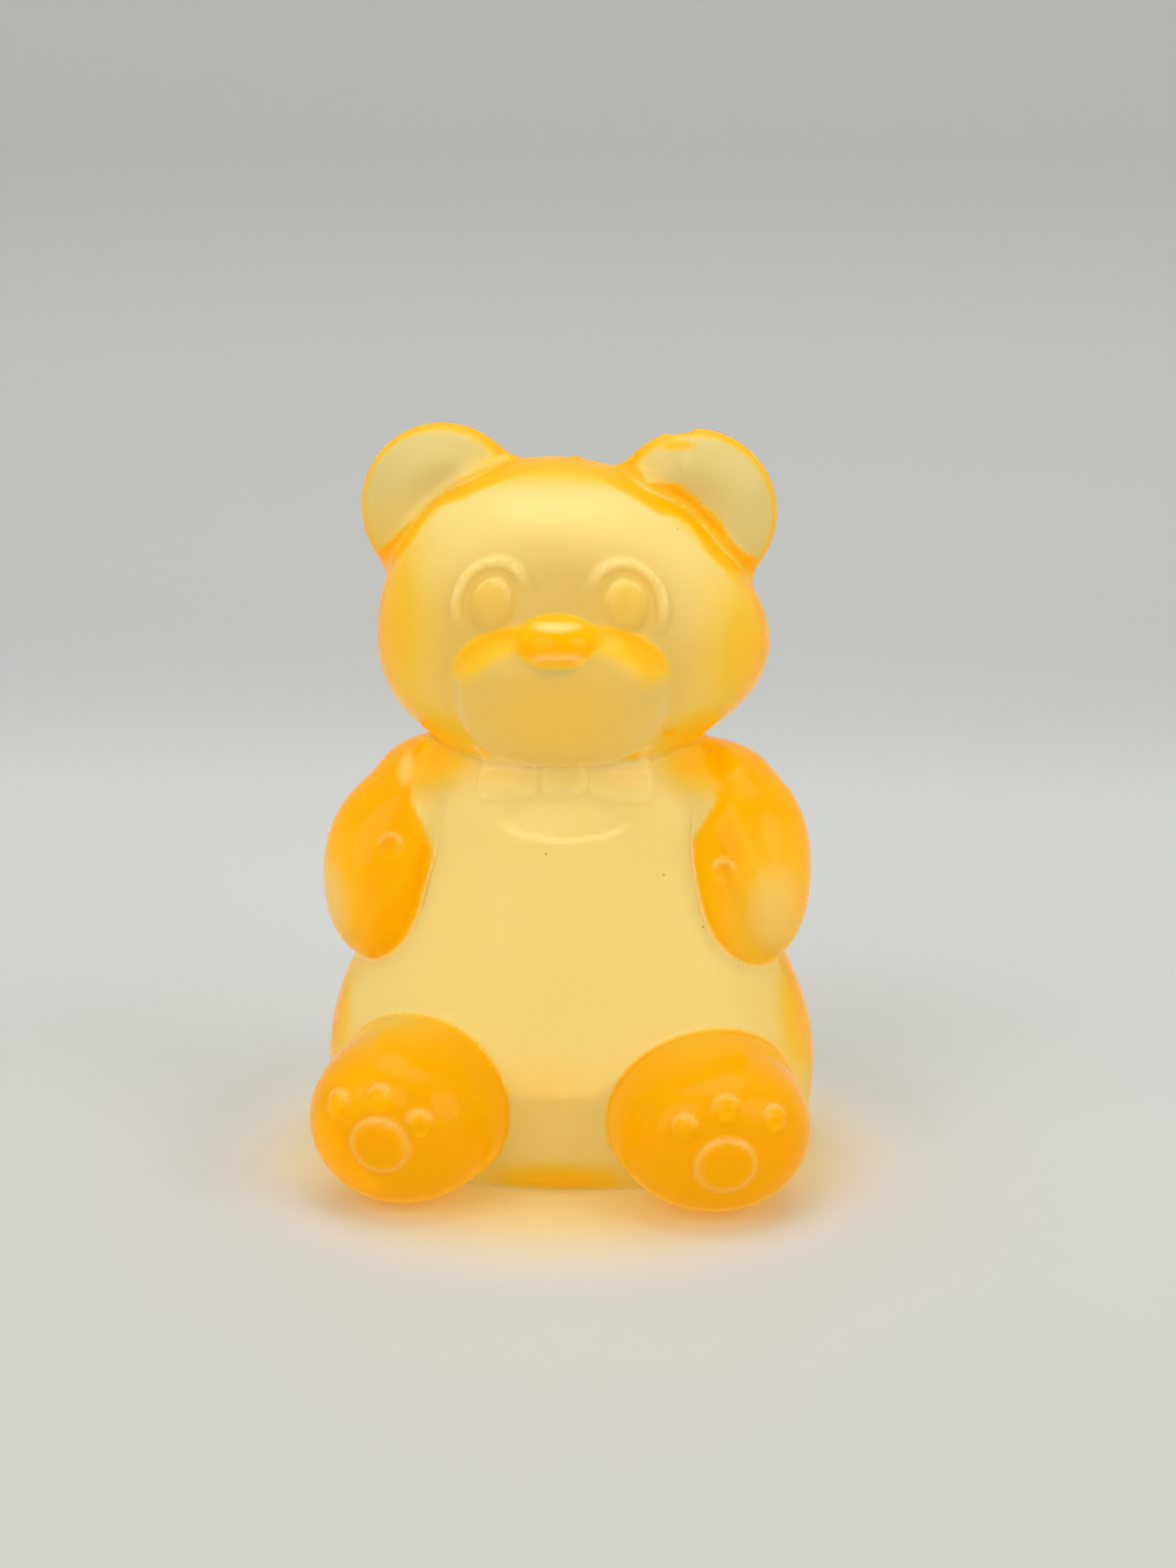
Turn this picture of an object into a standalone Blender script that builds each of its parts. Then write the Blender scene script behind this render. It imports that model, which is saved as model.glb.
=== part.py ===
"""A gummy bear, moulded in one piece: it sits with its legs forward and its arms at its sides.

Metres, +Z up. The bear faces -Y and sits on the plane z = 0, with the origin under the middle of
its base. Its forms are named below in millimetres. They are laid down as stretched spheres, wrapped
in one skin, and the skin is drawn onto the soft union of the same forms.
"""

import math

import bmesh
import bpy
import numpy as np
from mathutils import Euler, Matrix

MM = 0.001

# Each form: centre, radii, turn in degrees about X, Y and Z
BELLY = ((-0.1, 0.4, 6.3), (18.8, 13.0, 18.1), (0, 0, 0))
CHEST = ((0.1, 0.4, 24.0), (12.4, 8.2, 11.0), (0, 0, 0))
SHOULDERS = ((0.2, 0.2, 26.8), (12.2, 6.4, 5.0), (0, 0, 0))
TAIL = ((-0.6, 12.4, 4.4), (4.4, 2.4, 4.2), (0, 0, 0))
CRANIUM = ((-1.3, 0.2, 42.6), (11.9, 11.0, 10.5), (0, 3, 0))
CHEEKS = ((0.8, -0.4, 38.8), (13.8, 10.6, 7.8), (0, -3.5, 0))
MUZZLE = ((0.1, -9.0, 37.7), (7.7, 5.8, 5.3), (4, 0, 0))
NOSE = ((0.0, -12.7, 41.5), (3.0, 2.4, 2.1), (0, 0, 0))
EARS = (
    ((-9.6, 1.2, 49.1), (6.4, 2.7, 6.4), (0, 0, -8)),
    ((8.95, 1.2, 48.9), (6.3, 2.7, 6.3), (0, 0, 8)),
)
UPPER_ARMS = (
    ((-11.5, -1.4, 27.0), (3.5, 4.9, 4.3), (0, 0, 0)),
    ((12.2, -1.4, 26.8), (3.6, 4.9, 4.4), (0, 0, 0)),
)
PAWS = (
    ((-14.15, -3.4, 21.9), (4.35, 5.4, 6.6), (6, 0, 0)),
    ((13.6, -3.4, 22.2), (4.6, 5.4, 6.9), (6, 3, 0)),
)
LEGS = (
    ((-10.4, -9.8, 6.3), (7.2, 9.6, 6.5), (0, 0, -14)),
    ((10.6, -9.9, 6.0), (7.4, 9.6, 6.1), (0, 0, 12)),
)

# Fullness: 2 is a stretched sphere, and more squares the ends of a form along its Y axis.
# Squareness: 2 is round seen from the front, and more squares it
LEG_FULLNESS = 3.0
MUZZLE_FULLNESS = 2.8
MUZZLE_SQUARENESS = 2.5
PAW_SQUARENESS = 2.2

# How softly forms run into each other
TRUNK_BLEND = 8.0
HEAD_BLEND = 7.0
ARM_BLEND = 3.5
SHOULDER_BLEND = 3.6
CREASE_BLEND = 0.9
EAR_BLEND = 1.4
EAR_RIM_BLEND = 1.0
DETAIL_BLEND = 0.5
SHOULDER_START = 27.5
SHOULDER_END = 31.0

# Ear dishes: the ball that hollows an ear's front, and how far it stands ahead of the ear
EAR_DISH_RADIUS = 4.9
EAR_DISH_AHEAD = 6.3

# Relief on the surface: places across and up, half widths, half heights and how far it stands out
EYES = ((-4.8, 44.1), (4.8, 44.1))
EYE_DOME = (1.65, 2.1, 0.6)
LID_RING = (2.8, 3.15)
LID_RIDGE = (0.6, 0.42)
LID_ARCS = ((15.0, 220.0), (-40.0, 165.0))
LID_FADE = (15.0, 50.0)
LID_SEAM = -120.0
LID_SHARPNESS = 1.5
BOW = (0.0, 30.3)
BOW_KNOT = (2.1, 1.6, 0.8)
BOW_LOBE = (2.6, 1.85, 0.65)
BOW_LOBE_OUT = 4.1
BOW_SQUARENESS = 4.0
BOW_FLARE = 0.2
BOW_RIM = 0.35
BOW_FOLD = (0.3, 0.25, 0.4)
BIB = (0.0, 27.7)
BIB_DENT = (5.4, 1.9, -0.3)
SOLE_PADS = ((-12.3, 6.2), (12.5, 5.4))
PAD_DOME = (2.5, 2.3, 0.4)
TOES = (
    ((-15.5, 8.8), (-12.4, 9.6), (-9.4, 8.0)),
    ((9.5, 8.2), (12.5, 9.5), (15.9, 8.5)),
)
TOE_DOME = (1.0, 1.05, 0.4)
ARM_DIMPLES = ((-12.8, 25.4), (11.8, 24.0))
DIMPLE = (0.95, 0.95, -0.35)
MOULD_MARKS = (
    (((8.0, 1.2, 55.1), (-90, 0, 0)), (1.1, 2.6, -0.3)),
    (((0.3, 0.2, 53.1), (-90, 0, 0)), (0.6, 0.6, 0.25)),
)
RELIEF_DEPTH = 3.0
DOME_RIM = 0.4
DOME_FLATNESS = 0.65

# The line searched for a surface, from front to back
SEARCH_START = -25.0
SEARCH_END = 5.0
SEARCH_STEP = 0.02

# The wrap and its final faces
BALL_SEGMENTS = 48
SKIN_GRID = 0.5
EVENING_ROUNDS = 6
EVENING_DRAWS = 2
EVENING_FACTOR = 0.5
DRAW_STEPS = 4
LONGEST_STEP = 1.0
LEAST_STEEPNESS = 0.5
KEPT_FACES = 0.125

# The base, and the block that trims everything below it
BASE_ALLOWANCE = 0.05
BASE_EDGE = 1.2
CUTTER_WIDTH = 100.0
CUTTER_DEPTH = 10.0

# Puts the middle of the bear's box over the origin
CENTRING = (0.1, 2.55, 0)


def clear_scene():
    for old in list(bpy.data.objects):
        bpy.data.objects.remove(old)


def collection(name):
    made = bpy.data.collections.new(name)
    bpy.context.scene.collection.children.link(made)
    return made


def axes(turn):
    """The directions of a form's own X, Y and Z, as the columns of an array."""
    return np.array(Euler([math.radians(angle) for angle in turn]).to_matrix())


def egg(points, form, fullness=2.0, squareness=2.0):
    """Distance from points to a stretched sphere, nearly true close to its surface."""
    centre, radii, turn = form
    radii = np.array(radii)
    local = (points - np.array(centre)) @ axes(turn) / radii
    ring = (np.abs(local[:, 0]) ** squareness + np.abs(local[:, 2]) ** squareness) ** (1 / squareness)
    reach = (ring ** fullness + np.abs(local[:, 1]) ** fullness) ** (1 / fullness) + 1e-9
    slope = np.linalg.norm(local / reach[:, None] / radii, axis=1) + 1e-9
    return (reach - 1) / slope


def join(a, b, blend):
    """The union of two forms, with a fillet where they meet."""
    near = np.maximum(blend - np.abs(a - b), 0) / blend
    return np.minimum(a, b) - near * near * blend / 4


def carve(a, b, blend):
    """A form with another taken out of it, with a rounded edge."""
    return -join(-a, b, blend)


def fade(values, start, end):
    t = np.clip((values - start) / (end - start), 0, 1)
    return t * t * (3 - 2 * t)


def head(points):
    whole = join(egg(points, CRANIUM), egg(points, CHEEKS), HEAD_BLEND)
    for ear in EARS:
        centre = np.array(ear[0]) + (0, -EAR_DISH_AHEAD, 0)
        dish = (centre, (EAR_DISH_RADIUS,) * 3, (0, 0, 0))
        whole = join(whole, carve(egg(points, ear), egg(points, dish), EAR_RIM_BLEND), EAR_BLEND)
    whole = join(whole, egg(points, MUZZLE, MUZZLE_FULLNESS, MUZZLE_SQUARENESS), CREASE_BLEND)
    return join(whole, egg(points, NOSE), DETAIL_BLEND)


def trunk(points):
    whole = join(egg(points, BELLY), egg(points, CHEST), TRUNK_BLEND)
    whole = join(whole, egg(points, SHOULDERS), SHOULDER_BLEND)
    return join(whole, egg(points, TAIL), CREASE_BLEND)


def limbs(points, whole):
    """Arms that run softly into the shoulders and lie in a crease below, and legs."""
    blend = CREASE_BLEND + SHOULDER_BLEND * fade(points[:, 2], SHOULDER_START, SHOULDER_END)
    for upper, paw in zip(UPPER_ARMS, PAWS):
        arm = join(egg(points, upper), egg(points, paw, squareness=PAW_SQUARENESS), ARM_BLEND)
        whole = join(whole, arm, blend)
    for leg in LEGS:
        whole = join(whole, egg(points, leg, LEG_FULLNESS), CREASE_BLEND)
    return whole


def slopes(law, points):
    """How fast a form's distance grows along X, Y and Z at points."""
    nudge = 0.02
    found = [law(points + nudge * side) - law(points - nudge * side) for side in np.eye(3)]
    return np.stack(found, axis=1) / (2 * nudge)


def seat(law, across, height):
    """Where a form is first met from the front, and the turn that faces a detail out of it there."""
    depths = np.arange(SEARCH_START, SEARCH_END, SEARCH_STEP)
    line = np.stack([np.full_like(depths, across), depths, np.full_like(depths, height)], axis=1)
    point = line[np.argmax(law(line) < 0)]
    out = slopes(law, point[None])[0]
    out /= np.linalg.norm(out)
    tilt = math.degrees(math.asin(-out[2]))
    swing = math.degrees(math.atan2(out[0], -out[1]))
    return point, (tilt, 0, swing)


def relief(points, spot, half_width, half_height, rise):
    """How far a small dome, or a dimple if its rise is negative, lifts the surface at points."""
    centre, turn = spot
    local = (points - centre) @ axes(turn)
    out = np.hypot(local[:, 0] / half_width, local[:, 2] / half_height)
    flat = DOME_FLATNESS * fade(1 - out, 0, DOME_RIM)
    dome = flat + (1 - DOME_FLATNESS) * np.clip(1 - out ** 2, 0, 1)
    return rise * dome * (np.abs(local[:, 1]) < RELIEF_DEPTH)


def lift(points, domes):
    """The strongest relief of several domes and dimples at points."""
    strongest = np.zeros(len(points))
    for spot, sizes in domes:
        risen = relief(points, spot, *sizes)
        strongest = np.where(np.abs(risen) > np.abs(strongest), risen, strongest)
    return strongest


def lid(points, spot, start, end):
    """How far an eyelid's ridge lifts the surface: part of an oval ring, thinning out to its ends."""
    centre, turn = spot
    (wide, high), (half_width, rise) = LID_RING, LID_RIDGE
    local = (points - centre) @ axes(turn)
    angle = np.degrees(np.arctan2(local[:, 2] / high, local[:, 0] / wide))
    angle = np.where(angle < LID_SEAM, angle + 360, angle)
    along = np.radians(np.clip(angle, start, end))
    away = np.hypot(local[:, 0] - wide * np.cos(along), local[:, 2] - high * np.sin(along))
    before, after = LID_FADE
    taper = fade(angle, start - before, start + after) * fade(-angle, -end - before, after - end)
    ridge = np.clip(1 - (away / half_width) ** 2, 0, 1) ** LID_SHARPNESS
    return rise * taper * ridge * (np.abs(local[:, 1]) < RELIEF_DEPTH)


def sole(side):
    """The surface of one leg alone, which carries the pad and the toes."""
    leg = LEGS[side]
    return lambda points: egg(points, leg, LEG_FULLNESS)


def bow_lobe(points, spot, side):
    """How far one loop of the bow lifts the chest: it widens outwards and has a fold along it."""
    centre, turn = spot
    half_width, half_height, rise = BOW_LOBE
    local = (points - centre) @ axes(turn)
    across = np.clip(side * local[:, 0] / half_width, -1, 1.5)
    up = local[:, 2] / half_height / (1 + BOW_FLARE * across)
    out = (np.abs(across) ** BOW_SQUARENESS + np.abs(up) ** BOW_SQUARENESS) ** (1 / BOW_SQUARENESS)
    height, half_thickness, depth = BOW_FOLD
    fold = depth * np.clip(1 - ((up - height) / half_thickness) ** 2, 0, 1) * fade(across, -1, 0)
    return rise * fade(1 - out, 0, BOW_RIM) * (1 - fold) * (np.abs(local[:, 1]) < RELIEF_DEPTH)


BOW_LOBES = [(seat(trunk, BOW[0] + side * BOW_LOBE_OUT, BOW[1]), side) for side in (-1, 1)]
BOW_MIDDLE = [(seat(trunk, *BOW), BOW_KNOT)]


def main_forms(points):
    """The whole bear with its bow, and without its smaller relief."""
    bow = lift(points, BOW_MIDDLE)
    for spot, side in BOW_LOBES:
        bow = np.maximum(bow, bow_lobe(points, spot, side))
    return join(limbs(points, trunk(points) - bow), head(points), CREASE_BLEND)


DOMES = [(seat(head, *place), EYE_DOME) for place in EYES]
DOMES += [(seat(main_forms, *place), DIMPLE) for place in ARM_DIMPLES]
DOMES += [(seat(trunk, *BIB), BIB_DENT), *MOULD_MARKS]
DOMES += [(seat(sole(side), *place), PAD_DOME) for side, place in enumerate(SOLE_PADS)]
DOMES += [(seat(sole(side), *toe), TOE_DOME) for side in (0, 1) for toe in TOES[side]]
LIDS = [(seat(head, *place), *arc) for place, arc in zip(EYES, LID_ARCS)]


def on_its_base(law):
    """A form cut off flat where it rests, with a rounded bottom edge."""
    return lambda points: -join(-law(points), points[:, 2] + BASE_ALLOWANCE, BASE_EDGE)


def with_relief(points):
    """The whole bear with its eyes, pads, toes and dimples."""
    lids = sum(lid(points, spot, start, end) for spot, start, end in LIDS)
    return main_forms(points) - lift(points, DOMES) - lids


bear = on_its_base(with_relief)


def balls():
    """Every main form as a stretched sphere, together in one loose mesh, in millimetres."""
    bm = bmesh.new()
    forms = (BELLY, CHEST, SHOULDERS, TAIL, CRANIUM, CHEEKS, MUZZLE, NOSE)
    for centre, radii, turn in (*forms, *EARS, *UPPER_ARMS, *PAWS, *LEGS):
        turned = Matrix(axes(turn)).to_4x4()
        place = Matrix.Translation(centre) @ turned @ Matrix.Diagonal((*radii, 1))
        bmesh.ops.create_uvsphere(
            bm, u_segments=BALL_SEGMENTS, v_segments=BALL_SEGMENTS // 2, radius=1, matrix=place
        )
    mesh = bpy.data.meshes.new("balls")
    bm.to_mesh(mesh)
    bm.free()
    return mesh


def skin(mesh, home):
    """One closed skin of even squares round the loose forms."""
    loose = bpy.data.objects.new("balls", mesh)
    home.objects.link(loose)
    wrap = loose.modifiers.new("wrap", "REMESH")
    wrap.mode = "VOXEL"
    wrap.voxel_size = SKIN_GRID
    evaluated = loose.evaluated_get(bpy.context.evaluated_depsgraph_get())
    wrapped = bpy.data.meshes.new_from_object(evaluated)
    bpy.data.objects.remove(loose)
    return wrapped


def draw(bm, law, steps):
    """Moves the skin's points onto a form, a step at a time."""
    points = np.array([v.co for v in bm.verts], dtype=float)
    for _ in range(steps):
        slope = slopes(law, points)
        steepness = np.maximum(np.linalg.norm(slope, axis=1), LEAST_STEEPNESS)
        gap = np.clip(law(points) / steepness, -LONGEST_STEP, LONGEST_STEP)
        points -= (gap / steepness)[:, None] * slope
    for v, point in zip(bm.verts, points):
        v.co = point


def shaped(mesh):
    """Draws the skin onto the main forms, evening it out on the way, and then raises the relief."""
    bm = bmesh.new()
    bm.from_mesh(mesh)
    for v in bm.verts:
        v.co.z = max(v.co.z, 0)
    for _ in range(EVENING_ROUNDS):
        draw(bm, on_its_base(main_forms), EVENING_DRAWS)
        bmesh.ops.smooth_vert(
            bm, verts=bm.verts, factor=EVENING_FACTOR, use_axis_x=True, use_axis_y=True, use_axis_z=True
        )
    draw(bm, bear, DRAW_STEPS)
    bm.transform(Matrix.Scale(MM, 4) @ Matrix.Translation(CENTRING))
    bm.to_mesh(mesh)
    bm.free()


def base_cutter(home):
    """Everything below the plane that the bear sits on."""
    bm = bmesh.new()
    block = Matrix.Diagonal((CUTTER_WIDTH, CUTTER_WIDTH, CUTTER_DEPTH, 1))
    below = Matrix.Translation((0, 0, -CUTTER_DEPTH / 2))
    bmesh.ops.create_cube(bm, size=1, matrix=Matrix.Scale(MM, 4) @ below @ block)
    mesh = bpy.data.meshes.new("base_cutter")
    bm.to_mesh(mesh)
    bm.free()
    cutter = bpy.data.objects.new("base_cutter", mesh)
    cutter.hide_render = True
    cutter.display_type = "WIRE"
    home.objects.link(cutter)
    return cutter


def gel():
    """Clear orange fruit gel with a soft shine."""
    material = bpy.data.materials.new("orange_gel")
    material.use_nodes = True
    shader = material.node_tree.nodes["Principled BSDF"]
    shader.inputs["Base Color"].default_value = (0.93, 0.45, 0.04, 1)
    shader.inputs["Roughness"].default_value = 0.22
    shader.inputs["Metallic"].default_value = 0.0
    shader.inputs["Transmission Weight"].default_value = 0.8
    shader.inputs["IOR"].default_value = 1.42
    return material


def main():
    clear_scene()
    home = collection("gummy_bear_parts")
    cutters = collection("cutters")
    mesh = skin(balls(), home)
    mesh.name = "gummy_bear"
    shaped(mesh)
    mesh.materials.append(gel())
    mesh.shade_smooth()
    body = bpy.data.objects.new("gummy_bear", mesh)
    home.objects.link(body)
    fewer = body.modifiers.new("fewer faces", "DECIMATE")
    fewer.ratio = KEPT_FACES
    flat = body.modifiers.new("flat base", "BOOLEAN")
    flat.operation = "DIFFERENCE"
    flat.solver = "EXACT"
    flat.object = base_cutter(cutters)


main()
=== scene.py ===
"""A gummy bear of clear orange gel on a pale surface.

The skin is drawn onto the soft union of the forms named below, in millimetres. The bear faces -Y.
The gel's colour follows the thickness and turn of the forms: pale in the belly, forehead and ears,
and a deep orange in the arms, feet, nose and creases. Over it lie painted shade in the face, painted
highlights on the edges of the relief and in the creases, and a painted glow for light scattered in the
gel.
"""

import math
from functools import partial

import bmesh
import bpy
import numpy as np
from mathutils import Euler, Matrix, Vector


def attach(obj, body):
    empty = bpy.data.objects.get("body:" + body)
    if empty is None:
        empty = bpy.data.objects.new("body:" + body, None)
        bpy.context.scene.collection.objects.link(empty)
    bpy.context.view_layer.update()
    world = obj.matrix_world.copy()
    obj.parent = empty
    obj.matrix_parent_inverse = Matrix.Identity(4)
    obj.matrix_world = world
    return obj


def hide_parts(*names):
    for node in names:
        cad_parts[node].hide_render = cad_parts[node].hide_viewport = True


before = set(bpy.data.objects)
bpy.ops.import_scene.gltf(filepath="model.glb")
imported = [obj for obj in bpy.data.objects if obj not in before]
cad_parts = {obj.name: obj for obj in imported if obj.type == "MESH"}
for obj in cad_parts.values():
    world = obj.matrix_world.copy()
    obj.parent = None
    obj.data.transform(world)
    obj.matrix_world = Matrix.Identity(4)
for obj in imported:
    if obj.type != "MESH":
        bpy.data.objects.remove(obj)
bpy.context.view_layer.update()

MM = 0.001
BARELY = 1e-9

# Each form: centre, radii, turn in degrees about X, Y and Z
BELLY = ((-0.1, 0.4, 6.3), (18.8, 13.0, 18.1), (0, 0, 0))
CHEST = ((0.1, 0.4, 24.0), (12.4, 8.2, 11.0), (0, 0, 0))
SHOULDERS = ((0.2, 0.2, 26.8), (12.2, 6.4, 5.0), (0, 0, 0))
TAIL = ((-0.6, 12.4, 4.4), (4.4, 2.4, 4.2), (0, 0, 0))
CRANIUM = ((-1.3, 0.2, 42.6), (11.9, 11.0, 10.5), (0, 3, 0))
CHEEKS = ((0.8, -0.4, 38.8), (13.8, 10.6, 7.8), (0, -3.5, 0))
MUZZLE = ((0.1, -9.0, 37.7), (7.7, 5.8, 5.3), (4, 0, 0))
NOSE = ((0.0, -12.7, 41.5), (3.0, 2.4, 2.1), (0, 0, 0))
EARS = (
    ((-9.6, 1.2, 49.1), (6.4, 2.7, 6.4), (0, 0, -8)),
    ((8.95, 1.2, 48.9), (6.3, 2.7, 6.3), (0, 0, 8)),
)
UPPER_ARMS = (
    ((-11.5, -1.4, 27.0), (3.5, 4.9, 4.3), (0, 0, 0)),
    ((12.2, -1.4, 26.8), (3.6, 4.9, 4.4), (0, 0, 0)),
)
PAWS = (
    ((-14.15, -3.4, 21.9), (4.35, 5.4, 6.6), (6, 0, 0)),
    ((13.6, -3.4, 22.2), (4.6, 5.4, 6.9), (6, 3, 0)),
)
LEGS = (
    ((-10.4, -9.8, 6.3), (7.2, 9.6, 6.5), (0, 0, -14)),
    ((10.6, -9.9, 6.0), (7.4, 9.6, 6.1), (0, 0, 12)),
)

# Fullness: 2 is a stretched sphere, and more squares its ends along Y.
# Squareness: 2 is round seen from the front, and more squares it.
LEG_FULLNESS = 3.0
MUZZLE_FULLNESS = 2.8
MUZZLE_SQUARENESS = 2.5
PAW_SQUARENESS = 2.2

# How softly forms run into each other
TRUNK_BLEND = 8.0
HEAD_BLEND = 7.0
ARM_BLEND = 3.5
SHOULDER_BLEND = 3.6
CREASE_BLEND = 0.9
EAR_BLEND = 1.4
EAR_RIM_BLEND = 1.0
DETAIL_BLEND = 0.5
SHOULDER_START = 27.5
SHOULDER_END = 31.0

# Ear dishes: the ball that hollows an ear's front, and how far it stands ahead of the ear
EAR_DISH_RADIUS = 4.9
EAR_DISH_AHEAD = 6.3

# Relief on the surface: places across and up, half widths, half heights and how far it stands out
EYES = ((-4.8, 44.1), (4.8, 44.1))
EYE_DOME = (1.65, 2.1, 0.6)
LID_RING = (2.8, 3.15)
LID_RIDGE = (0.6, 0.42)
LID_ARCS = ((15.0, 220.0), (-40.0, 165.0))
LID_FADE = (15.0, 50.0)
LID_SEAM = -120.0
LID_SHARPNESS = 1.5
BOW = (0.0, 30.3)
BOW_KNOT = (2.1, 1.6, 0.8)
BOW_LOBE = (2.6, 1.85, 0.65)
BOW_LOBE_OUT = 4.1
BOW_SQUARENESS = 4.0
BOW_FLARE = 0.2
BOW_RIM = 0.35
BOW_FOLD = (0.3, 0.25, 0.4)
BIB = (0.0, 27.7)
BIB_DENT = (5.4, 1.9, -0.3)
SOLE_PADS = ((-12.3, 6.2), (12.5, 5.4))
PAD_DOME = (2.5, 2.3, 0.4)
TOES = (
    ((-15.5, 8.8), (-12.4, 9.6), (-9.4, 8.0)),
    ((9.5, 8.2), (12.5, 9.5), (15.9, 8.5)),
)
TOE_DOME = (1.0, 1.05, 0.4)
ARM_DIMPLES = ((-12.8, 25.4), (11.8, 24.0))
DIMPLE = (0.95, 0.95, -0.35)
MOULD_MARKS = (
    (((8.0, 1.2, 55.1), (-90, 0, 0)), (1.1, 2.6, -0.3)),
    (((0.3, 0.2, 53.1), (-90, 0, 0)), (0.6, 0.6, 0.25)),
)
RELIEF_DEPTH = 3.0
DOME_RIM = 0.4
DOME_FLATNESS = 0.65

# The line searched for a surface, from front to back
SEARCH_START = -25.0
SEARCH_END = 5.0
SEARCH_STEP = 0.02
NUDGE = 0.02

# The wrap
BALL_SEGMENTS = 64
SKIN_GRID = 0.33
EVENING_ROUNDS = 5
EVENING_DRAWS = 2
EVENING_FACTOR = 0.5
DRAW_STEPS = 3
LONGEST_STEP = 1.0
LEAST_STEEPNESS = 0.5
BASE_ALLOWANCE = 0.05
BASE_EDGE = 1.2

# Puts the middle of the bear's box over the origin
CENTRING = (0.1, 2.55, 0)

# The camera, in millimetres and degrees
CAMERA_PLACE = (16.88, -212.80, 81.52)
CAMERA_TURN = (76.0, 0.0, 4.2)
CAMERA_LENS = 66.58


def axes(turn):
    """The directions of a form's own X, Y and Z, as the columns of an array."""
    return np.array(Euler([math.radians(angle) for angle in turn]).to_matrix())


def egg(points, form, fullness=2.0, squareness=2.0):
    """Distance from points to a stretched sphere, nearly true close to its surface."""
    centre, radii, turn = form
    radii = np.array(radii)
    local = (points - np.array(centre)) @ axes(turn) / radii
    ring = (np.abs(local[:, 0]) ** squareness + np.abs(local[:, 2]) ** squareness) ** (1 / squareness)
    reach = (ring ** fullness + np.abs(local[:, 1]) ** fullness) ** (1 / fullness) + BARELY
    slope = np.linalg.norm(local / reach[:, None] / radii, axis=1) + BARELY
    return (reach - 1) / slope


def join(a, b, blend):
    """The union of two forms, with a fillet where they meet."""
    near = np.maximum(blend - np.abs(a - b), 0) / blend
    return np.minimum(a, b) - near * near * blend / 4


def carve(a, b, blend):
    """A form with another taken out of it, with a rounded edge."""
    return -join(-a, b, blend)


def fade(values, start, end):
    t = np.clip((values - start) / (end - start), 0, 1)
    return t * t * (3 - 2 * t)


def skull(points):
    return join(egg(points, CRANIUM), egg(points, CHEEKS), HEAD_BLEND)


def ear_shape(points, ear):
    centre = np.array(ear[0]) + (0, -EAR_DISH_AHEAD, 0)
    dish = (centre, (EAR_DISH_RADIUS,) * 3, (0, 0, 0))
    return carve(egg(points, ear), egg(points, dish), EAR_RIM_BLEND)


def head(points):
    whole = skull(points)
    for ear in EARS:
        whole = join(whole, ear_shape(points, ear), EAR_BLEND)
    whole = join(whole, egg(points, MUZZLE, MUZZLE_FULLNESS, MUZZLE_SQUARENESS), CREASE_BLEND)
    return join(whole, egg(points, NOSE), DETAIL_BLEND)


def trunk(points):
    whole = join(egg(points, BELLY), egg(points, CHEST), TRUNK_BLEND)
    whole = join(whole, egg(points, SHOULDERS), SHOULDER_BLEND)
    return join(whole, egg(points, TAIL), CREASE_BLEND)


def arm(points, side):
    paw = egg(points, PAWS[side], squareness=PAW_SQUARENESS)
    return join(egg(points, UPPER_ARMS[side]), paw, ARM_BLEND)


def leg(points, side):
    return egg(points, LEGS[side], LEG_FULLNESS)


def limbs(points, whole):
    """Arms that run softly into the shoulders and lie in a crease below, and legs."""
    blend = CREASE_BLEND + SHOULDER_BLEND * fade(points[:, 2], SHOULDER_START, SHOULDER_END)
    for side in (0, 1):
        whole = join(whole, arm(points, side), blend)
    for side in (0, 1):
        whole = join(whole, leg(points, side), CREASE_BLEND)
    return whole


def slopes(law, points):
    """How fast a form's distance grows along X, Y and Z at points."""
    found = [law(points + NUDGE * side) - law(points - NUDGE * side) for side in np.eye(3)]
    return np.stack(found, axis=1) / (2 * NUDGE)


def seat(law, across, height):
    """Where a form is first met from the front, and the turn that faces a detail out of it there."""
    depths = np.arange(SEARCH_START, SEARCH_END, SEARCH_STEP)
    line = np.stack([np.full_like(depths, across), depths, np.full_like(depths, height)], axis=1)
    point = line[np.argmax(law(line) < 0)]
    out = slopes(law, point[None])[0]
    out /= np.linalg.norm(out)
    tilt = math.degrees(math.asin(-out[2]))
    swing = math.degrees(math.atan2(out[0], -out[1]))
    return point, (tilt, 0, swing)


def relief(points, spot, half_width, half_height, rise):
    """How far a small dome, or a dimple if its rise is negative, lifts the surface at points."""
    centre, turn = spot
    local = (points - centre) @ axes(turn)
    out = np.hypot(local[:, 0] / half_width, local[:, 2] / half_height)
    flat = DOME_FLATNESS * fade(1 - out, 0, DOME_RIM)
    dome = flat + (1 - DOME_FLATNESS) * np.clip(1 - out ** 2, 0, 1)
    return rise * dome * (np.abs(local[:, 1]) < RELIEF_DEPTH)


def lift(points, domes):
    """The strongest relief of several domes and dimples at points."""
    strongest = np.zeros(len(points))
    for spot, sizes in domes:
        risen = relief(points, spot, *sizes)
        strongest = np.where(np.abs(risen) > np.abs(strongest), risen, strongest)
    return strongest


def lid(points, spot, start, end):
    """How far an eyelid's ridge lifts the surface: part of an oval ring, thinning out to its ends."""
    centre, turn = spot
    (wide, high), (half_width, rise) = LID_RING, LID_RIDGE
    local = (points - centre) @ axes(turn)
    angle = np.degrees(np.arctan2(local[:, 2] / high, local[:, 0] / wide))
    angle = np.where(angle < LID_SEAM, angle + 360, angle)
    along = np.radians(np.clip(angle, start, end))
    away = np.hypot(local[:, 0] - wide * np.cos(along), local[:, 2] - high * np.sin(along))
    before, after = LID_FADE
    taper = fade(angle, start - before, start + after) * fade(-angle, -end - before, after - end)
    ridge = np.clip(1 - (away / half_width) ** 2, 0, 1) ** LID_SHARPNESS
    return rise * taper * ridge * (np.abs(local[:, 1]) < RELIEF_DEPTH)


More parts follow.
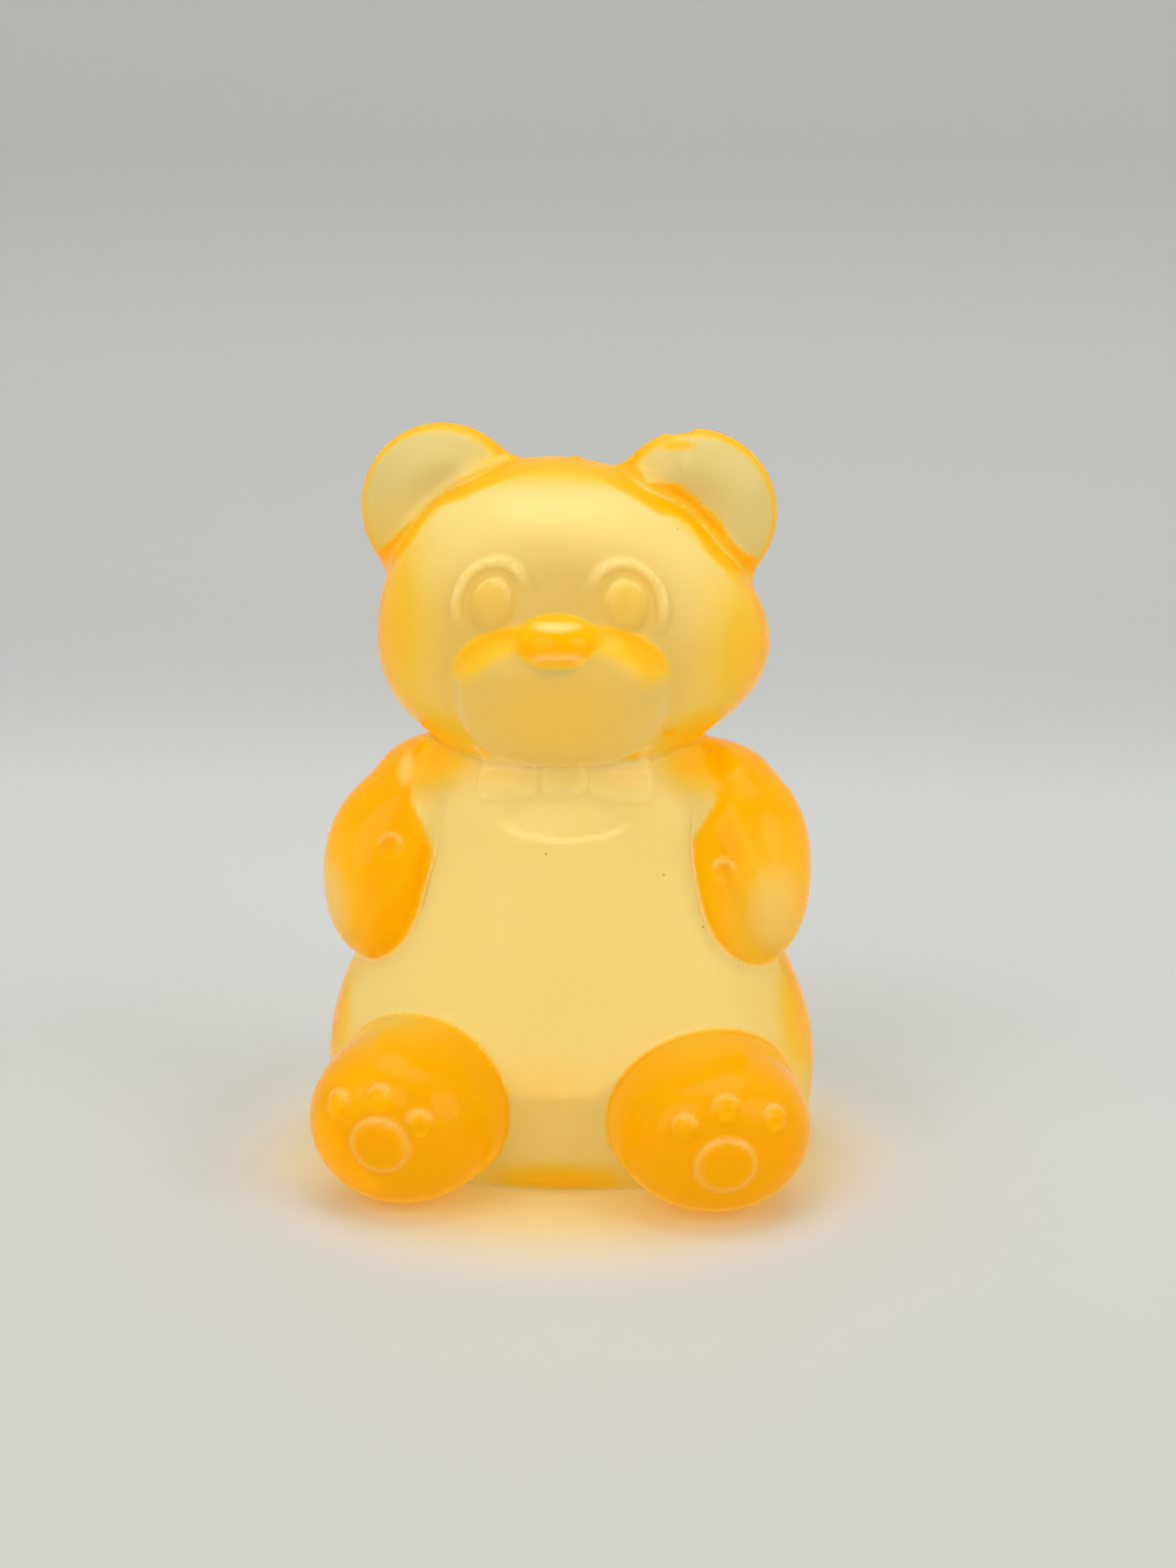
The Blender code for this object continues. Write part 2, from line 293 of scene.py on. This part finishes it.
def bow_lobe(points, spot, side):
    """How far one loop of the bow lifts the chest: it widens outwards and has a fold along it."""
    centre, turn = spot
    half_width, half_height, rise = BOW_LOBE
    local = (points - centre) @ axes(turn)
    across = np.clip(side * local[:, 0] / half_width, -1, 1.5)
    up = local[:, 2] / half_height / (1 + BOW_FLARE * across)
    out = (np.abs(across) ** BOW_SQUARENESS + np.abs(up) ** BOW_SQUARENESS) ** (1 / BOW_SQUARENESS)
    height, half_thickness, depth = BOW_FOLD
    fold = depth * np.clip(1 - ((up - height) / half_thickness) ** 2, 0, 1) * fade(across, -1, 0)
    return rise * fade(1 - out, 0, BOW_RIM) * (1 - fold) * (np.abs(local[:, 1]) < RELIEF_DEPTH)


BOW_LOBES = [(seat(trunk, BOW[0] + side * BOW_LOBE_OUT, BOW[1]), side) for side in (-1, 1)]
BOW_MIDDLE = [(seat(trunk, *BOW), BOW_KNOT)]


def bow(points):
    """How far the bow lifts the chest."""
    raised = lift(points, BOW_MIDDLE)
    for spot, side in BOW_LOBES:
        raised = np.maximum(raised, bow_lobe(points, spot, side))
    return raised


def plain_forms(points, raised=0):
    """The whole bear without its relief."""
    return join(limbs(points, trunk(points) - raised), head(points), CREASE_BLEND)


def main_forms(points):
    """The whole bear with its bow, and without its smaller relief."""
    return plain_forms(points, bow(points))


EYE_SPOTS = [seat(head, *place) for place in EYES]
PAD_SPOTS = [seat(partial(leg, side=side), *place) for side, place in enumerate(SOLE_PADS)]
TOE_SPOTS = [seat(partial(leg, side=side), *toe) for side in (0, 1) for toe in TOES[side]]
LIT_DOMES = [
    *((spot, EYE_DOME) for spot in EYE_SPOTS),
    *((seat(main_forms, *place), DIMPLE) for place in ARM_DIMPLES),
    *((spot, PAD_DOME) for spot in PAD_SPOTS),
    *((spot, TOE_DOME) for spot in TOE_SPOTS),
]
BIB_SPOT = seat(trunk, *BIB)
DOMES = [*LIT_DOMES, (BIB_SPOT, BIB_DENT), *MOULD_MARKS]
LIDS = [(spot, *arc) for spot, arc in zip(EYE_SPOTS, LID_ARCS)]


def on_its_base(law):
    """A form cut off flat where it rests, with a rounded bottom edge."""
    return lambda points: -join(-law(points), points[:, 2] + BASE_ALLOWANCE, BASE_EDGE)


def with_relief(points):
    """The whole bear with its eyes, pads, toes and dimples."""
    lids = sum(lid(points, spot, start, end) for spot, start, end in LIDS)
    return main_forms(points) - lift(points, DOMES) - lids


def balls():
    """Every main form as a stretched sphere, together in one loose mesh, in millimetres."""
    bm = bmesh.new()
    forms = (BELLY, CHEST, SHOULDERS, TAIL, CRANIUM, CHEEKS, MUZZLE, NOSE)
    for centre, radii, turn in (*forms, *EARS, *UPPER_ARMS, *PAWS, *LEGS):
        turned = Matrix(axes(turn)).to_4x4()
        place = Matrix.Translation(centre) @ turned @ Matrix.Diagonal((*radii, 1))
        bmesh.ops.create_uvsphere(
            bm, u_segments=BALL_SEGMENTS, v_segments=BALL_SEGMENTS // 2, radius=1, matrix=place
        )
    mesh = bpy.data.meshes.new("balls")
    bm.to_mesh(mesh)
    bm.free()
    return mesh


def skin(mesh):
    """One closed skin of even squares round the loose forms."""
    loose = bpy.data.objects.new("balls", mesh)
    bpy.context.scene.collection.objects.link(loose)
    wrap = loose.modifiers.new("wrap", "REMESH")
    wrap.mode = "VOXEL"
    wrap.voxel_size = SKIN_GRID
    evaluated = loose.evaluated_get(bpy.context.evaluated_depsgraph_get())
    wrapped = bpy.data.meshes.new_from_object(evaluated)
    bpy.data.objects.remove(loose)
    return wrapped


def draw(bm, law, steps):
    """Moves the skin's points onto a form, a step at a time."""
    points = np.array([v.co for v in bm.verts], dtype=float)
    for _ in range(steps):
        slope = slopes(law, points)
        steepness = np.maximum(np.linalg.norm(slope, axis=1), LEAST_STEEPNESS)
        gap = np.clip(law(points) / steepness, -LONGEST_STEP, LONGEST_STEP)
        points -= (gap / steepness)[:, None] * slope
    for v, point in zip(bm.verts, points):
        v.co = point
    return points


def shaped(mesh):
    """Draws the skin onto the main forms, evening it out on the way, and then raises the relief."""
    bm = bmesh.new()
    bm.from_mesh(mesh)
    for v in bm.verts:
        v.co.z = max(v.co.z, 0)
    for _ in range(EVENING_ROUNDS):
        draw(bm, on_its_base(main_forms), EVENING_DRAWS)
        bmesh.ops.smooth_vert(
            bm, verts=bm.verts, factor=EVENING_FACTOR, use_axis_x=True, use_axis_y=True, use_axis_z=True
        )
    points = draw(bm, on_its_base(with_relief), DRAW_STEPS)
    points[:, 2] = np.maximum(points[:, 2], 0)
    for v, point in zip(bm.verts, points):
        v.co = point
    bm.transform(Matrix.Scale(MM, 4) @ Matrix.Translation(CENTRING))
    bm.to_mesh(mesh)
    bm.free()
    return points


# Where the orange is deeper or paler than the form alone makes it: centre, radii and how much
TINTS = (
    ((-17.6, -7.0, 20.4), (4.4, 10.0, 8.2), -0.85),
    ((15.6, -8.0, 21.0), (4.8, 10.0, 8.6), -0.85),
    ((-10.6, -6.0, 31.5), (4.4, 8.0, 4.6), 0.55),
    ((10.0, -6.0, 31.7), (4.4, 8.0, 4.4), 0.55),
    ((7.8, -1.0, 54.2), (2.0, 3.0, 0.6), 0.9),
    ((-4.0, -1.0, 51.2), (5.0, 6.0, 3.6), 0.3),
    ((0.0, -15.0, 40.4), (2.2, 1.6, 1.1), -0.5),
    ((-12.4, -9.0, 12.8), (6.6, 9.0, 3.2), -0.6),
    ((9.5, -10.0, 12.0), (5.0, 9.0, 2.2), -0.3),
    ((0.0, -12.0, 0.8), (9.0, 6.0, 2.6), 0.7),
    ((18.6, -2.0, 12.5), (3.4, 12.0, 7.0), 0.9),
    ((-18.8, -2.0, 11.0), (3.0, 12.0, 6.0), 0.8),
    ((-15.0, -4.0, 40.5), (12.0, 14.0, 13.0), 0.55),
    ((15.6, -4.0, 38.0), (11.0, 14.0, 12.0), 0.5),
    ((-0.6, -10.0, 7.8), (5.4, 6.0, 5.2), 0.15),
    ((0.0, -6.0, 40.0), (17.0, 14.0, 14.0), 0.2),
    ((-8.5, -7.0, 33.0), (6.5, 8.0, 5.0), 0.45),
    ((9.5, -7.0, 33.0), (6.0, 8.0, 4.5), 0.4),
    ((0.0, -12.0, 36.5), (10.0, 8.0, 7.0), 0.25),
    ((0.0, -2.0, 53.0), (9.0, 8.0, 2.8), 0.45),
    ((-4.8, -9.5, 44.2), (3.4, 5.0, 3.7), 0.25),
    ((4.8, -9.5, 44.2), (3.4, 5.0, 3.7), 0.25),
    ((-6.0, -6.5, 32.3), (2.2, 3.0, 0.7), 0.7),
    ((4.8, -6.5, 32.3), (2.6, 3.0, 0.7), 0.9),
    ((7.8, -9.0, 34.2), (0.9, 4.0, 0.5), 0.9),
    ((5.9, -10.0, 33.3), (0.7, 4.0, 0.5), 0.7),
)
TINT_EDGE = 0.9

# Where the orange begins and ends, in distances from the forms' surfaces
NOSE_EDGE = (-0.3, 0.3)
SNOUT_EDGE = (0.1, 0.5)
LIMB_EDGE = (-0.15, 0.3)
ARM_REACH = (-1.2, -0.4)

# The tint of what turns sideways or away from the front, and of the muzzle's upper outline
SIDE_TINT = 0.3
SIDE_TURN = (0.55, 1.0)
RIM_TINT = 0.8
RIM_TURN = (-0.42, -0.1)
LEDGE_TINT = 0.85
LEDGE_EDGE = (0.68, 0.98)
LEDGE_HEIGHT = (0.1, 0.6)

# The orange band between each ear and the head: degrees round the head, and widths
EAR_BANDS = (
    ((106, 0.2), (119, 0.35), (133, 0.35), (150, 0.3), (160, 0.6), (167, 1.4)),
    (
        (9, 1.6), (14, 0.8), (19, 0.75), (25, 1.1), (34, 1.1),
        (43, 1.3), (52, 0.35), (60, 1.0), (66, 0.9),
    ),
)
BAND_START = (-0.8, -0.2)
BAND_EDGE = (-0.1, 0.2)
CREST_START = (-3.2, -2.2)
CREST_EDGE = (-0.5, -0.3)
CREST_HEIGHT = (43.5, 46.0)
EAR_OUTLINE = (0.89, 0.97)
EAR_OUTLINE_TINT = 0.75
EAR_NEAR = 0.1
EAR_BOTTOM = 40

# Where each arm's orange begins on its inner side: heights and distances from the middle
ARM_EDGES = (
    (
        (20.3, 9.4), (23.7, 9.6), (25.7, 10.1), (26.8, 10.5),
        (28.5, 11.5), (30.1, 11.7), (31.5, 11.0), (33.2, 9.4),
    ),
    (
        (20.3, 8.9), (23.7, 9.1), (25.8, 9.4), (27.3, 10.2),
        (28.7, 11.1), (30.1, 11.1), (31.0, 10.2), (32.9, 8.8),
    ),
)

THIN_EDGE = (0.2, 1.5)
# Painted shade in the middle of the face: centre, radii and how strong, then how softly it fades
FACE_SHADE = ((0.0, -12.0, 40.5), (14.0, 13.0, 10.0), 0.75)
FACE_SHADE_EDGE = 0.5

# Painted soft glints, which are painted highlights on the surface: centres, radii and how bright
PAINTED_GLINTS = (
    ((-12.0, -5.5, 30.6), (0.8, 4.0, 1.5), 0.5),
    ((0.0, -8.0, 27.9), (5.6, 4.0, 1.9), 0.3),
    ((0.0, -14.0, 43.1), (2.2, 3.0, 0.35), 0.5),
    ((-1.0, -6.5, 50.2), (5.0, 4.0, 1.1), 0.3),
)
GLINT_EDGE = 0.6

# Painted highlights: thin lines of light on the edges of the relief and in the limbs' front creases
ARC_PLACE = 0.85
ARC_WIDTH = 0.16
ARC_FADE = (-0.1, 0.7)
RIM_LIGHT = 0.4
PAD_LIGHT = 0.25
NOSE_FACET = ((0.2, 40.3), (2.1, 1.1))
LID_LIGHT = 0.5
BOW_LIGHT = 0.35
LIMB_LIGHTS = ((arm, 0.7), (leg, 0.35))
CREASE_LIGHT_PLACE = 0.12
CREASE_LIGHT_WIDTH = 0.13
CREASE_LIGHT_FRONT = (2.0, 5.0)
CREASE_LIGHT_TOP = (-27, -24)

# Specks of dust on the skin: places across and up
SPECKS = ((17.6, 21.5), (10.3, 19.4), (-16.7, 18.8), (8.1, 48.6), (7.4, 23.4), (-1.2, 25.1))
SPECK_SIZE = 0.13


def glow_ball(points, centre, radii, edge):
    """1 inside a stretched ball, fading to 0 at its surface over a share of its radius."""
    return fade(1 - np.linalg.norm((points - centre) / radii, axis=1), 0, edge)


def limb_orange(points):
    """1 in the arms and legs, apart from the arms' inner edge."""
    body = trunk(points)
    deep = np.zeros(len(points))
    for side, edge in enumerate(ARM_EDGES):
        beyond = np.abs(points[:, 0]) - np.interp(points[:, 2], *zip(*edge))
        own = arm(points, side)
        orange = np.minimum(fade(body - own, *LIMB_EDGE), fade(beyond, *LIMB_EDGE))
        deep = np.maximum(deep, orange * fade(-own, *ARM_REACH))
        deep = np.maximum(deep, fade(body - leg(points, side), *LIMB_EDGE))
    return deep


def ear_orange(points, face, facing):
    """The band between each ear and the head, the head's crest beside it and the ear's own outline."""
    from_head = points - CRANIUM[0]
    round_head = np.degrees(np.arctan2(from_head[:, 2], from_head[:, 0]))
    deep = np.zeros(len(points))
    for ear, widths in zip(EARS, EAR_BANDS):
        own = ear_shape(points, ear)
        place = (points - ear[0]) @ axes(ear[2]) / ear[1]
        outline = EAR_OUTLINE_TINT * fade(np.hypot(place[:, 0], place[:, 2]), *EAR_OUTLINE)
        outline *= (own < EAR_NEAR) * (face > 0)
        crest = fade(-own, *CREST_START) * fade(-facing, *CREST_EDGE)
        crest *= fade(points[:, 2], *CREST_HEIGHT)
        width = np.interp(round_head, *zip(*widths))
        band = np.maximum(fade(-own, *BAND_START), crest) * fade(width - face, *BAND_EDGE)
        deep = np.maximum(deep, np.maximum(band, outline))
    return deep * (points[:, 2] > EAR_BOTTOM)


def ledge(points):
    """1 along the upper part of the muzzle's outline."""
    place = (points - MUZZLE[0]) @ axes(MUZZLE[2]) / MUZZLE[1]
    ring = (np.abs(place[:, [0, 2]]) ** MUZZLE_SQUARENESS).sum(axis=1) ** (1 / MUZZLE_SQUARENESS)
    return fade(ring, *LEDGE_EDGE) * fade(place[:, 2], *LEDGE_HEIGHT)


def depth_of_colour(points):
    """How deep the gel's orange is: 0 in the pale belly and face, 1 in the arms and feet."""
    face = skull(points)
    snout = egg(points, MUZZLE, MUZZLE_FULLNESS, MUZZLE_SQUARENESS)
    off_snout = fade(snout, *SNOUT_EDGE)
    out = slopes(plain_forms, points)
    out = np.abs(out / np.linalg.norm(out, axis=1)[:, None])
    deep = np.maximum.reduce([
        fade(np.minimum(snout, face) - egg(points, NOSE), *NOSE_EDGE),
        limb_orange(points),
        ear_orange(points, face, out[:, 1]),
        SIDE_TINT * fade(out[:, 0], *SIDE_TURN) * off_snout,
        RIM_TINT * fade(-out[:, 1], *RIM_TURN) * off_snout,
        LEDGE_TINT * ledge(points) * (1 - off_snout),
    ])
    for centre, radii, strength in TINTS:
        deep = deep + strength * glow_ball(points, centre, radii, TINT_EDGE)
    return np.clip(deep, 0, 1)


def thinness(points):
    """1 in the ears, which are thin enough to see the backdrop through."""
    face = skull(points)
    ears = [fade(face - ear_shape(points, ear), *THIN_EDGE) for ear in EARS]
    return np.maximum(*ears) * (points[:, 2] > EAR_BOTTOM)


def painted_shade(points):
    """How much painted shade darkens the gel's colour in the middle of the face."""
    centre, radii, strength = FACE_SHADE
    return strength * glow_ball(points, centre, radii, FACE_SHADE_EDGE)


def edge_arc(points, spot, sizes, way):
    """A thin line along the upper (1) or lower (-1) half of a dome's edge, or all round it (0)."""
    centre, turn = spot
    half_width, half_height = sizes[:2]
    local = (points - centre) @ axes(turn)
    out = np.hypot(local[:, 0] / half_width, local[:, 2] / half_height)
    line = np.exp(-(((out - ARC_PLACE) * half_height / ARC_WIDTH) ** 2))
    half = fade(way * local[:, 2] / half_height, *ARC_FADE) if way else 1
    return line * half * (np.abs(local[:, 1]) < RELIEF_DEPTH)


def painted_relief_highlights(points):
    """Painted highlights on the edges of the domes and dimples, the nose, the eyelids and the bow."""
    light = edge_arc(points, BIB_SPOT, BIB_DENT, -1)
    for spot in PAD_SPOTS:
        light = np.maximum(light, PAD_LIGHT * edge_arc(points, spot, PAD_DOME, 0))
    for spot, sizes in (*LIT_DOMES, (seat(head, *NOSE_FACET[0]), NOSE_FACET[1])):
        light = np.maximum(light, RIM_LIGHT * edge_arc(points, spot, sizes, 1))
    for spot, start, end in LIDS:
        light = np.maximum(light, LID_LIGHT * (lid(points, spot, start, end) / LID_RIDGE[1]) ** 2)
    # The painted highlight is brightest halfway up the bow's edge
    step = np.clip(bow(points) / BOW_LOBE[2], 0, 1)
    return np.maximum(light, BOW_LIGHT * 4 * step * (1 - step))


def painted_crease_highlights(points):
    """Painted highlights in the creases between the trunk and the fronts of the limbs."""
    body = trunk(points)
    shown = fade(-points[:, 1], *CREASE_LIGHT_FRONT) * fade(-points[:, 2], *CREASE_LIGHT_TOP)
    light = np.zeros(len(points))
    for side in (0, 1):
        for limb, strength in LIMB_LIGHTS:
            gap = body - limb(points, side) - CREASE_LIGHT_PLACE
            line = np.exp(-((gap / CREASE_LIGHT_WIDTH) ** 2))
            light = np.maximum(light, strength * shown * line)
    return light


def painted_highlights(points):
    """Painted highlights where the gel's edges gather light, with a few painted soft glints."""
    light = np.maximum(painted_relief_highlights(points), painted_crease_highlights(points))
    for centre, radii, strength in PAINTED_GLINTS:
        light = np.maximum(light, strength * glow_ball(points, centre, radii, GLINT_EDGE))
    return light


class Value:
    """A number in a shader. Arithmetic on it adds Math nodes."""

    def __init__(self, tree, socket):
        self.tree = tree
        self.socket = socket

    def math(self, operation, other):
        return self.tree.add("Math", {"operation": operation}, (self, other))["Value"]

    def __add__(self, other):
        return self.math("ADD", other)

    __radd__ = __add__

    def __mul__(self, other):
        return self.math("MULTIPLY", other)

    __rmul__ = __mul__

    def __sub__(self, other):
        return self.math("SUBTRACT", other)

    def __rsub__(self, other):
        return self * -1 + other

    def between(self, start, end):
        """0 at start, 1 at end and a soft step from one to the other."""
        inputs = {"Value": self, "From Min": start, "From Max": end}
        return self.tree.add("MapRange", {"interpolation_type": "SMOOTHSTEP"}, inputs)["Result"]


class Shader:
    """A material's tree, with one way to add each node."""

    def __init__(self, name):
        self.material = bpy.data.materials.new(name)
        self.material.use_nodes = True
        self.nodes = self.material.node_tree.nodes
        self.links = self.material.node_tree.links
        self.finish = self.nodes["Principled BSDF"]
        self.output = self.nodes["Material Output"]

    def feed(self, node, inputs):
        """Sets a node's inputs, named or in order, to values or links."""
        pairs = inputs.items() if isinstance(inputs, dict) else enumerate(inputs)
        for key, value in pairs:
            if isinstance(value, Value):
                self.links.new(value.socket, node.inputs[key])
            else:
                node.inputs[key].default_value = value

    def add(self, kind, settings, inputs):
        """A node of a kind with its settings and inputs; gives its outputs by name."""
        node = self.nodes.new("ShaderNode" + kind)
        for key, value in settings.items():
            setattr(node, key, value)
        self.feed(node, inputs)
        return {out.name: Value(self, out) for out in node.outputs if out.enabled}

    def attribute(self, name):
        return self.add("Attribute", {"attribute_name": name}, {})["Fac"]

    def mix(self, factor, first, second):
        inputs = {"Factor": factor, "A": first, "B": second}
        return self.add("Mix", {"data_type": "RGBA"}, inputs)["Result"]


# The gel's own colours, with a colour for painted shade and one for painted highlights (light), and the
# colours of its painted glow, which stands in for the light scattered inside it
GEL = {
    "pale": (0.84, 0.71, 0.27, 1),
    "thin": (0.78, 0.66, 0.28, 1),
    "painted_shade": (0.56, 0.43, 0.13, 1),
    "amber": (0.86, 0.54, 0.03, 1),
    "deep": (1.00, 0.43, 0.0, 1),
    "light": (1.00, 0.82, 0.38, 1),
}
PAINTED_GLOW = {
    "pale": (0.58, 0.45, 0.155, 1),
    "thin": (0.34, 0.27, 0.10, 1),
    "painted_shade": (0.34, 0.25, 0.07, 1),
    "amber": (0.75, 0.42, 0.0, 1),
    "deep": (1.00, 0.44, 0.0, 1),
    "light": (0.90, 0.75, 0.32, 1),
}
DUST = (0.10, 0.06, 0.03, 1)
ABSORPTION = (1.0, 0.75, 0.3, 1)
ABSORPTION_DENSITY = 8.0


def painted(shader, colours):
    """From pale through amber to deep orange, with the ears, the painted shade in the face and the
    painted highlights on the edges.
    """
    soft = shader.attribute("deep") * 2
    colour = shader.mix(shader.attribute("thin"), colours["pale"], colours["thin"])
    colour = shader.mix(shader.attribute("painted_shade"), colour, colours["painted_shade"])
    colour = shader.mix(soft, colour, colours["amber"])
    colour = shader.mix(soft - 1, colour, colours["deep"])
    return shader.mix(shader.attribute("light"), colour, colours["light"])


def gel():
    """Clear, slightly hazy gel, pale where the forms are broad and a deep orange where they are round,
    with painted shade, painted highlights and a painted glow.
    """
    shader = Shader("orange_gel")
    place = shader.add("TexCoord", {}, {})["Object"]
    dusty = 0
    for speck in SPECKS:
        spot = (Vector(seat(main_forms, *speck)[0]) + Vector(CENTRING)) * MM
        away = shader.add("VectorMath", {"operation": "DISTANCE"}, (place, spot))["Value"]
        dusty = dusty + away.between(SPECK_SIZE * MM, 0)
    shader.feed(shader.finish, {
        # Base colour: the gel's tones and dust, with painted shade and painted highlights
        "Base Color": shader.mix(dusty, painted(shader, GEL), DUST),
        # Painted glow, standing in for light scattered inside the gel
        "Emission Color": painted(shader, PAINTED_GLOW),
        "Emission Strength": 0.18,
        "Roughness": 0.2,
        "IOR": 1.18,
        "Specular IOR Level": 0.35,
        "Specular Tint": (1.0, 0.75, 0.3, 1),
        "Transmission Weight": 0.58,
        "Subsurface Weight": 1.0,
        "Subsurface Radius": (1.0, 0.9, 0.6),
        "Subsurface Scale": 0.002,
        "Coat Weight": 0.12,
        "Coat Roughness": 0.06,
        "Coat IOR": 1.4,
    })
    volume = {"Color": ABSORPTION, "Density": ABSORPTION_DENSITY}
    absorbed = shader.add("VolumeAbsorption", {}, volume)["Volume"]
    shader.links.new(absorbed.socket, shader.output.inputs["Volume"])
    return shader.material


# What the gel's material reads from the skin: the orange's depth, the ears' thinness, the painted shade
# and the painted highlights
PAINT = (("deep", depth_of_colour), ("thin", thinness), ("painted_shade", painted_shade), ("light", painted_highlights))


def bear_mesh():
    """The bear's skin, with what its material reads as attributes of its points."""
    mesh = skin(balls())
    mesh.name = "gummy_bear_skin"
    points = shaped(mesh)
    for name, law in PAINT:
        mesh.attributes.new(name, "FLOAT", "POINT").data.foreach_set("value", law(points))
    return mesh


def bear():
    mesh = bear_mesh()
    mesh.materials.append(gel())
    mesh.shade_smooth()
    made = bpy.data.objects.new("gummy_bear_skin", mesh)
    bpy.context.scene.collection.objects.link(made)
    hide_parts("gummy_bear")
    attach(made, "root")


# The floor's and the wall's colours, and where one fades into the next, in metres; round the bear's foot
# a painted warm tint and a painted glow stand in for light passed through the gel, and the floor is
# painted darker towards the front as painted shade
FLOOR_FRONT = (0.47, 0.465, 0.43, 1)
FLOOR_BACK = (0.52, 0.53, 0.515, 1)
FLOOR_PAINTED_SHADE_FADE = (-0.12, 0.10)
WALL = (0.38, 0.38, 0.37, 1)
WALL_FADE = (0.095, 0.145)
PAINTED_FLOOR_WARMTH = (0.47, 0.37, 0.19, 1)
PAINTED_WARMTH_FADE = (0.026, 0.012)
PAINTED_FLOOR_GLOW = (0.62, 0.43, 0.08, 1)
PAINTED_GLOW_FADE = (0.030, 0.014)
NO_GLOW = (0, 0, 0, 1)

SWEEP_DISTANCE = 0.10
SWEEP_RADIUS = 0.07
SWEEP_HEIGHT = 0.60
SWEEP_WIDTH = 1.2
SWEEP_FRONT = 0.60
SWEEP_STEPS = 24


def pulled(bm, edges, along):
    """Draws a strip out of edges; gives its new points and edges."""
    made = bmesh.ops.extrude_edge_only(bm, edges=edges)["geom"]
    points = [g for g in made if isinstance(g, bmesh.types.BMVert)]
    bmesh.ops.translate(bm, verts=points, vec=along)
    return [g for g in made if not isinstance(g, bmesh.types.BMFace)]


def sweep_mesh():
    """A sheet that lies flat and curves up behind."""
    bm = bmesh.new()
    ends = [bm.verts.new((side * SWEEP_WIDTH, -SWEEP_FRONT, 0)) for side in (-1, 1)]
    back = pulled(bm, [bm.edges.new(ends)], (0, SWEEP_DISTANCE + SWEEP_FRONT, 0))
    turned = bmesh.ops.spin(
        bm,
        geom=back,
        cent=(0, SWEEP_DISTANCE, SWEEP_RADIUS),
        axis=(1, 0, 0),
        angle=math.pi / 2,
        steps=SWEEP_STEPS,
        dvec=(0, 0, 0),
    )["geom_last"]
    pulled(bm, [g for g in turned if isinstance(g, bmesh.types.BMEdge)], (0, 0, SWEEP_HEIGHT))
    bmesh.ops.recalc_face_normals(bm, faces=bm.faces)
    mesh = bpy.data.meshes.new("sweep")
    bm.to_mesh(mesh)
    bm.free()
    mesh.shade_smooth()
    return mesh


def sweep():
    """A pale floor that curves up into a greyer wall, painted darker towards the front as painted shade,
    with a painted warm tint and a painted glow round the bear's foot.
    """
    shader = Shader("pale_sweep")
    place = shader.add("TexCoord", {}, {})["Object"]
    back = shader.add("SeparateXYZ", {}, {"Vector": place})["Y"]
    from_bear = shader.add("VectorMath", {"operation": "LENGTH"}, (place,))["Value"]
    # Painted shade: the floor darker towards the front
    floor = shader.mix(back.between(*FLOOR_PAINTED_SHADE_FADE), FLOOR_FRONT, FLOOR_BACK)
    # Painted warm tint round the bear's foot
    floor = shader.mix(from_bear.between(*PAINTED_WARMTH_FADE), floor, PAINTED_FLOOR_WARMTH)
    shader.feed(shader.finish, {
        "Base Color": shader.mix(back.between(*WALL_FADE), floor, WALL),
        # Painted glow round the bear's foot, for light passed through the gel
        "Emission Color": shader.mix(from_bear.between(*PAINTED_GLOW_FADE), NO_GLOW, PAINTED_FLOOR_GLOW),
        "Emission Strength": 0.4,
        "Roughness": 0.6,
        "Specular IOR Level": 0.2,
    })
    mesh = sweep_mesh()
    mesh.materials.append(shader.material)
    made = bpy.data.objects.new("sweep", mesh)
    bpy.context.scene.collection.objects.link(made)


# The studio's lamps: name, place, width and power
LIGHTS = (
    ("overhead softbox", (0.0, 0.05, 0.42), 0.42, 1.1),
    ("front fill", (-0.40, -0.60, 0.50), 0.80, 4.0),
    ("right fill", (0.60, -0.35, 0.40), 0.60, 2.4),
)
AIM = (0.0, 0.0, 0.03)
SURROUND = (0.50, 0.51, 0.50, 1)


def studio():
    """Soft lights and the camera."""
    world = bpy.data.worlds.new("studio")
    bpy.context.scene.world = world
    world.use_nodes = True
    world.node_tree.nodes["Background"].inputs["Color"].default_value = SURROUND
    for name, place, size, power in LIGHTS:
        light = bpy.data.lights.new(name, "AREA")
        light.energy = power
        light.shape = "DISK"
        light.size = size
        lamp = bpy.data.objects.new(name, light)
        lamp.location = place
        lamp.rotation_euler = (Vector(place) - Vector(AIM)).to_track_quat("Z", "Y").to_euler()
        bpy.context.scene.collection.objects.link(lamp)
    lens = bpy.data.cameras.new("camera")
    lens.lens = CAMERA_LENS
    lens.sensor_width = 36
    lens.clip_start = 0.01
    camera = bpy.data.objects.new("camera", lens)
    camera.location = (Vector(CAMERA_PLACE) + Vector(CENTRING)) * MM
    camera.rotation_euler = [math.radians(angle) for angle in CAMERA_TURN]
    bpy.context.scene.collection.objects.link(camera)
    bpy.context.scene.camera = camera
    bpy.context.scene.view_settings.view_transform = "Standard"


bear()
sweep()
studio()
